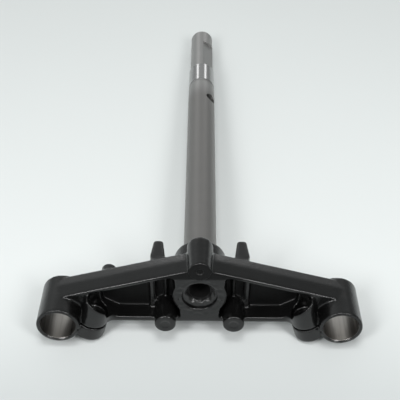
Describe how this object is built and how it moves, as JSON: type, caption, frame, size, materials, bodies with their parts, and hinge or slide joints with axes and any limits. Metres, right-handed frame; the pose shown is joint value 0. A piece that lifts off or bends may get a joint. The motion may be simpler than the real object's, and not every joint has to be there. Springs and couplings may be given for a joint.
{
  "type": "motorcycle lower triple clamp with steering stem",
  "caption": "Black cast lower fork yoke with two split fork clamps, steering stops and a long bare steel steering stem welded into its hub.",
  "frame": {"origin": "on the stem axis, at the hub's top face, where the lower bearing race sits", "axes": "+Y up the stem, +Z to the rear of the bike, which is up as the part lies on its front, +X to the right"},
  "size_m": [0.2512, 0.4412, 0.079],
  "materials": {
    "black_paint": "gloss black paint over a rough steel casting",
    "bare_steel": "bare turned steel with a brighter ground band"
  },
  "bodies": {
    "root": {"lower_yoke": "black_paint", "steering_stem": "bare_steel", "stem_weld": "black_paint"}
  },
  "joints": []
}
